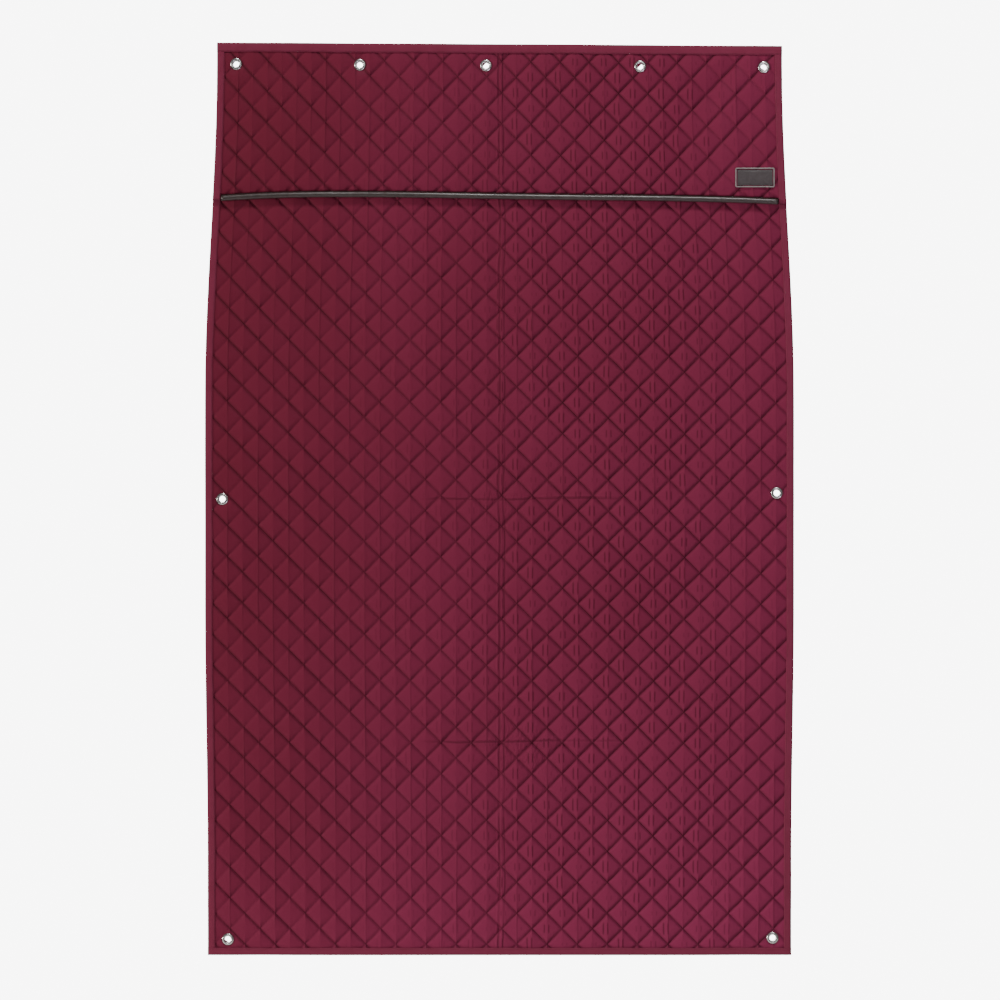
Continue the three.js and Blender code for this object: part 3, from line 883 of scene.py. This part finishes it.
def stitchRow(xs, zs, ys):
    # Short spindles end to end along a line that lies on the cloth.
    steps = np.sqrt(np.diff(xs) ** 2 + np.diff(zs) ** 2 + np.diff(ys) ** 2)
    along = np.concatenate([[0], np.cumsum(steps)])
    centres = np.arange(seam["pitch"], along[-1] - seam["pitch"], seam["pitch"])
    points, faces = [], []
    radius = seam["radius"]
    for s in centres:
        ends = [np.array([np.interp(s + e, along, v) for v in (xs, ys, zs)])
                for e in (-seam["length"] / 2, seam["length"] / 2)]
        direction = (ends[1] - ends[0]) / np.linalg.norm(ends[1] - ends[0])
        side = np.cross(direction, (0, 1, 0))
        first = len(points)
        points.append(ends[0])
        for share in (0.2, 0.8):
            ring = ends[0] + (ends[1] - ends[0]) * share
            for turn in range(4):
                angle = math.pi / 4 + turn * math.pi / 2
                points.append(ring + radius * (side * math.cos(angle)
                                               + np.array((0, 1, 0)) * math.sin(angle)))
        points.append(ends[1])
        for turn in range(4):
            n = (turn + 1) % 4
            faces.append((first, first + 1 + n, first + 1 + turn))
            faces.append((first + 1 + turn, first + 1 + n, first + 5 + n, first + 5 + turn))
            faces.append((first + 9, first + 5 + turn, first + 5 + n))
    return np.array(points), faces


def stitching(name, rows):
    points, faces = [], []
    for xs, zs, ys in rows:
        rowPoints, rowFaces = stitchRow(xs, zs, ys)
        start = sum(len(p) for p in points)
        points.append(rowPoints)
        faces += [tuple(k + start for k in f) for f in rowFaces]
    points = np.concatenate(points)
    return makePiece(name, points, faces, points[:, [0, 2]], threadMaterial, turnOut=True)


def sideRows(high, low, mid, half, sides=(-1, 1)):
    rows = []
    for sign in sides:
        zs = np.linspace(high, low, int((high - low) / tape["step"]))
        xs = sign * (halfWidthAt(zs) - sideWidth + seam["fromEdge"])
        lift = hangAt(sign * halfWidthAt(zs) - sign * sideWidth / 2, zs)
        for face in (-1, 1):
            rows.append((xs, zs, mid + lift + face * (seam["proud"] * half + seam["lift"])))
    return rows


def levelRows(xs, zs, inset, mid, half):
    lift = hangAt(xs, zs + inset / 2)
    line = zs + inset - math.copysign(seam["fromEdge"], inset)
    rise = seam["proud"] * half + seam["lift"]
    return [(xs, line, mid + lift + face * rise) for face in (-1, 1)]


seamTop = topAt(0) - topWidth - seam["clear"]
panelSeams = sideRows(seamTop, bottomZ + bottomWidth, panelMid, sideHalf)
panelSeams += levelRows(topXs, topAt(topXs), -topWidth, topMid, topHalf)
panelSeams += levelRows(hemXs, hemLine, bottomWidth, hemMid, hemHalf)
tapeStitches = stitching("tapeStitches", panelSeams)
flapSeams = []
for side, sign in (("left", -1), ("right", 1)):
    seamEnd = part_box("flap_binding_" + side)[0].z + 0.003
    flapSeams += sideRows(seamTop, seamEnd, flapMid, sideHalf, (sign,))
flapStitches = stitching("flapTapeStitches", flapSeams)
print("tapes stitched")

# The piping's flange runs behind the face cloth, and its two edges lie a slit apart.
piping = {"radius": 0.0061, "hollow": 0.0052, "cord": 0.0048, "flange": 0.0062,
          "flangeBack": 0.0017, "flangeDepth": 0.0008, "forward": 0.0011, "step": 0.006,
          "halfSlit": 0.00005}


def pipingSection():
    # A strip wrapped round the cord, with both of its edges laid together as a flange.
    radius, hollow = piping["radius"], piping["hollow"]
    halfSlit, neck = piping["halfSlit"], hollow * 1.02
    front = -piping["flangeBack"] - piping["forward"]
    back = front - piping["flangeDepth"]
    slit = (front + back) / 2
    top = radius + piping["flange"]
    rises = np.linspace(top, radius * 0.98, 4)
    points = [(-front, rise) for rise in rises[:-1]]
    turns = np.linspace(math.asin(front / radius), 2 * math.pi + math.asin(back / radius), 24)
    points += [(-radius * math.sin(t), radius * math.cos(t)) for t in turns]
    points += [(-back, rise) for rise in rises[::-1][1:]]
    points += [(-slit + halfSlit, top), (-slit + halfSlit, neck)]
    inner = np.linspace(2 * math.pi + math.asin((slit - halfSlit) / hollow),
                        math.asin((slit + halfSlit) / hollow), 18)
    points += [(-hollow * math.sin(t), hollow * math.cos(t)) for t in inner]
    points += [(-slit - halfSlit, neck), (-slit - halfSlit, top)]
    return np.array(points)


def makePiping():
    xs = np.linspace(-pipingHalf, pipingHalf, int(2 * pipingHalf / piping["step"]))
    zs = pipingAt(xs)
    lift = hangAt(xs, zs + 0.01)
    centres = np.stack([xs, pipingY - piping["forward"] + lift, zs], 1)
    section = pipingSection()
    bumps = 1 + 0.012 * np.sin(xs * 210) * np.sin(xs * 77)
    offsets = section[None] * bumps[:, None, None]
    sections = np.stack([np.zeros(offsets.shape[:2]), offsets[:, :, 0], offsets[:, :, 1]], 2)
    around = np.concatenate([[0], np.cumsum(np.hypot(*np.diff(section, axis=0).T))])
    cover = sweep("pipingCover", centres, sections, xs, pipingMaterial, around)
    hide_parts("piping_cover")
    turns = np.linspace(0, 2 * math.pi, 15)[:-1]
    strands = 1 - 0.05 * np.abs(np.sin(1.5 * (turns[None, :] + xs[:, None] * 320)))
    circle = np.stack([np.zeros(strands.shape), piping["cord"] * strands * np.cos(turns)[None],
                       piping["cord"] * strands * np.sin(turns)[None]], 2)
    cord = sweep("pipingCord", centres, circle, xs, cordMaterial, turns * piping["cord"])
    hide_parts("piping_cord")
    return cover, cord


pipingCover, pipingCord = makePiping()
print("piping sewn")

eyeletShape = {"hole": 0.0065, "edge": 0.0125, "around": 48, "lip": 0.0022, "dome": 0.0023}


def spunRing(name, profile, place, back):
    # A circle drawn along a profile by extruding and scaling it in steps.
    bpy.ops.object.select_all(action="DESELECT")
    bpy.ops.mesh.primitive_circle_add(vertices=eyeletShape["around"], radius=profile[0][0],
                                      location=(0, 0, profile[0][1]))
    ring = bpy.context.object
    ring.name = name
    bpy.ops.object.mode_set(mode="EDIT")
    bpy.ops.mesh.select_all(action="SELECT")
    for (radius, rise), (nextRadius, nextRise) in zip(profile, profile[1:] + profile[:1]):
        bpy.ops.mesh.extrude_region_move(
            TRANSFORM_OT_translate={"value": (0, 0, nextRise - rise)})
        scale = nextRadius / radius
        bpy.ops.transform.resize(value=(scale, scale, 1), center_override=(0, 0, 0))
    bpy.ops.mesh.select_all(action="SELECT")
    bpy.ops.mesh.remove_doubles(threshold=0.00001)
    bpy.ops.mesh.normals_make_consistent(inside=False)
    # The circle is turned so that its height runs towards the front.
    bpy.ops.transform.rotate(value=math.radians(-90), orient_axis="X", center_override=(0, 0, 0))
    bpy.ops.transform.translate(value=(place[0], back, place[1]))
    bpy.ops.object.mode_set(mode="OBJECT")
    ring.data.transform(ring.matrix_world)
    ring.matrix_world.identity()
    bpy.ops.object.shade_smooth_by_angle(angle=math.radians(50))
    ring.data.materials.append(nickel)
    return ring


def makeEyelet(eyelet):
    # Each profile is radius and height over the cloth, from the hole outwards and back.
    hole, edge = eyeletShape["hole"], eyeletShape["edge"]
    lip = eyeletShape["lip"]                       # rolled end behind the cloth
    crown = lip - eyelet["front"]
    depth = crown - eyeletShape["dome"]
    grommet = [
        (hole, 0.0002), (hole + 0.0009, 0.0), (hole + 0.0022, 0.0001), (hole + 0.0028, 0.0005),
        (hole + 0.0025, 0.0008), (hole + 0.0009, 0.0009), (hole + 0.0008, depth + 0.0003),
        (edge - 0.0004, depth + 0.0003), (edge, depth + 0.0006), (edge - 0.0003, depth + 0.0012),
        (edge - 0.0013, depth + 0.0019), (edge - 0.0028, crown), (hole + 0.0018, crown - 0.0001),
        (hole + 0.0007, crown - 0.0006), (hole + 0.0001, crown - 0.0015)]
    washer = [(hole + 0.0012, 0.0011), (edge - 0.0003, 0.0011), (edge, 0.0014),
              (edge - 0.0002, 0.0018), (hole + 0.0013, 0.0019)]
    for ending, part, profile in (("_ring", "_grommet", grommet), ("_plate", "_washer", washer)):
        piece = spunRing(eyelet["name"] + ending, profile, (eyelet["x"], eyelet["z"]), lip)
        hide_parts(eyelet["name"] + part)
        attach(piece, "curtain")


for eyelet in eyelets:
    makeEyelet(eyelet)
print("eyelets set")

patchShape = {"corner": 0.0032, "rim": 0.0027, "tuck": 0.0012, "rise": 0.0004, "forward": 0.0013,
              "insets": (0.0026, 0.0009, 0.0008), "soften": 0.0006}


def uprightPlane(name, low, high):
    # A flat sheet facing the front, at the back of its place, left open in edit mode.
    bpy.ops.object.select_all(action="DESELECT")
    bpy.ops.mesh.primitive_plane_add(size=1, rotation=(math.radians(90), 0, 0), location=(
        (low.x + high.x) / 2, high.y, (low.z + high.z) / 2))
    sheet = bpy.context.object
    sheet.name = name
    sheet.scale = (high.x - low.x, high.z - low.z, 1)
    bpy.ops.object.transform_apply(location=True, rotation=True, scale=True)
    bpy.ops.object.mode_set(mode="EDIT")
    bpy.ops.mesh.select_all(action="SELECT")
    return sheet


def patchPlate():
    low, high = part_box("patch_plate")
    under = Vector((patchShape["tuck"], 0, patchShape["tuck"]))
    plate = uprightPlane("patchPlate", low + under, high - under)
    bpy.ops.mesh.extrude_region_move(
        TRANSFORM_OT_translate={"value": (0, low.y - high.y + patchShape["rise"], 0)})
    bpy.ops.mesh.inset(thickness=patchShape["insets"][0], depth=0.0)
    bpy.ops.mesh.inset(thickness=patchShape["insets"][1], depth=0.0)
    bpy.ops.transform.translate(value=(0, -patchShape["rise"], 0))
    bpy.ops.mesh.inset(thickness=patchShape["insets"][2], depth=0.0)
    bpy.ops.mesh.select_all(action="SELECT")
    bpy.ops.mesh.normals_make_consistent(inside=False)
    bpy.ops.object.mode_set(mode="OBJECT")
    bpy.ops.object.shade_smooth_by_angle(angle=math.radians(35))
    plate.data.materials.append(plateMaterial)
    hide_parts("patch_plate")
    return plate


def patchRim():
    low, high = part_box("patch_rim")
    rim = uprightPlane("patchRim", low, high)
    bpy.ops.mesh.bevel(offset=patchShape["corner"], segments=4, affect="VERTICES")
    bpy.ops.mesh.select_all(action="SELECT")
    bpy.ops.mesh.inset(thickness=patchShape["rim"], depth=0.0)
    bpy.ops.mesh.delete(type="FACE")
    bpy.ops.mesh.select_all(action="SELECT")
    bpy.ops.mesh.extrude_region_move(
        TRANSFORM_OT_translate={"value": (0, low.y - high.y, 0)})
    bpy.ops.mesh.select_all(action="SELECT")
    bpy.ops.mesh.normals_make_consistent(inside=False)
    bpy.ops.object.mode_set(mode="OBJECT")
    soften = rim.modifiers.new("soften", "BEVEL")
    soften.width = patchShape["soften"]
    soften.segments = 3
    soften.limit_method = "ANGLE"
    soften.angle_limit = math.radians(60)
    bpy.ops.object.modifier_apply(modifier="soften")
    bpy.ops.object.shade_smooth_by_angle(angle=math.radians(50))
    rim.data.materials.append(rimMaterial)
    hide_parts("patch_rim")
    return rim


plate = patchPlate()
rim = patchRim()
patchMid = (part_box("patch_rim")[0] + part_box("patch_rim")[1]) / 2
patchLift = float(hangAt(np.array([patchMid.x]), np.array([patchMid.z]))[0])
for piece in (plate, rim):
    piece.data.transform(Matrix.Translation((0, patchLift - patchShape["forward"], 0)))
print("patch sewn on")

# What moves with what.
for piece in (*panelPieces.values(), tapes["panelLeft"], tapes["panelRight"], tapes["top"],
              tapes["hem"], tapeStitches):
    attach(piece, "curtain")
for piece in (pipingCover, pipingCord, plate, rim):
    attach(piece, "flap")
for piece in (*flapPieces.values(), tapes["flapLeft"], tapes["flapRight"], flapStitches):
    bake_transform(piece)

studio = {"distance": 9.0, "viewHeight": 2.1335, "lookX": 0.001, "lookZ": -0.927,
          "aim": (0, 0, -0.95), "floorRadius": 2.4, "floorZ": -2.3, "seen": 8.0, "lit": 0.14}
# Each lamp's place, size, power in watts and colour.
lamps = {"keyLeft": ((-13.0, -6.4, -0.8), (2.2, 2.2), 1020, "#fff4ee"),
         "fillRight": ((3.2, -4.6, -4.4), (2.4, 2.4), 110, "#f2e2ff"),
         "topSoft": ((0.6, -4.4, 6.8), (1.4, 1.4), 360, "#ffffff"),
         "frontSoft": ((0.8, -6.5, 1.6), (2.2, 1.2), 34, "#ffffff"),
         "backSoft": ((-3.0, 5.0, 2.5), (3.0, 3.0), 420, "#ffffff")}


def addLamp(name, place, size, watts, colour):
    bpy.ops.object.light_add(type="AREA", location=place)
    lamp = bpy.context.object
    lamp.name = name
    lamp.data.shape = "RECTANGLE"
    lamp.data.size, lamp.data.size_y = size
    lamp.data.energy = watts
    lamp.data.color = toLinear(colour)[:3]
    towards = Vector(studio["aim"]) - Vector(place)
    lamp.rotation_euler = towards.to_track_quat("-Z", "Y").to_euler()


def makeStudio():
    bpy.ops.mesh.primitive_circle_add(vertices=96, radius=studio["floorRadius"], fill_type="NGON",
                                      location=(0, 0, studio["floorZ"]))
    floor = bpy.context.object
    floor.name = "floor"
    paper, _, shader = newMaterial("pale_paper_floor")
    plugIn(shader, {"Base Color": toLinear("#f2f1ef"), "Roughness": 0.9})
    floor.data.materials.append(paper)
    for name, lamp in lamps.items():
        addLamp(name, *lamp)

    # The camera sees a white room, and the object is lit by a much darker one.
    world = bpy.data.worlds.new("studio")
    bpy.context.scene.world = world
    world.use_nodes = True
    white = toLinear("#ffffff")
    lit = addNode(world, "Background", white, studio["lit"])
    seen = addNode(world, "Background", white, studio["seen"])
    direct = addNode(world, "LightPath", out="Is Camera Ray")
    room = addNode(world, "MixShader", direct, lit, seen)
    plugIn(world.node_tree.nodes["World Output"], {"Surface": room})

    bpy.ops.object.camera_add(location=(studio["lookX"], -studio["distance"], studio["lookZ"]),
                              rotation=(math.radians(90), 0, 0))
    camera = bpy.context.object
    camera.data.sensor_width = 36
    camera.data.lens = 36 * (studio["distance"] + flapFront) / studio["viewHeight"]
    camera.data.clip_end = 60
    bpy.context.scene.camera = camera


makeStudio()
print("studio lit")
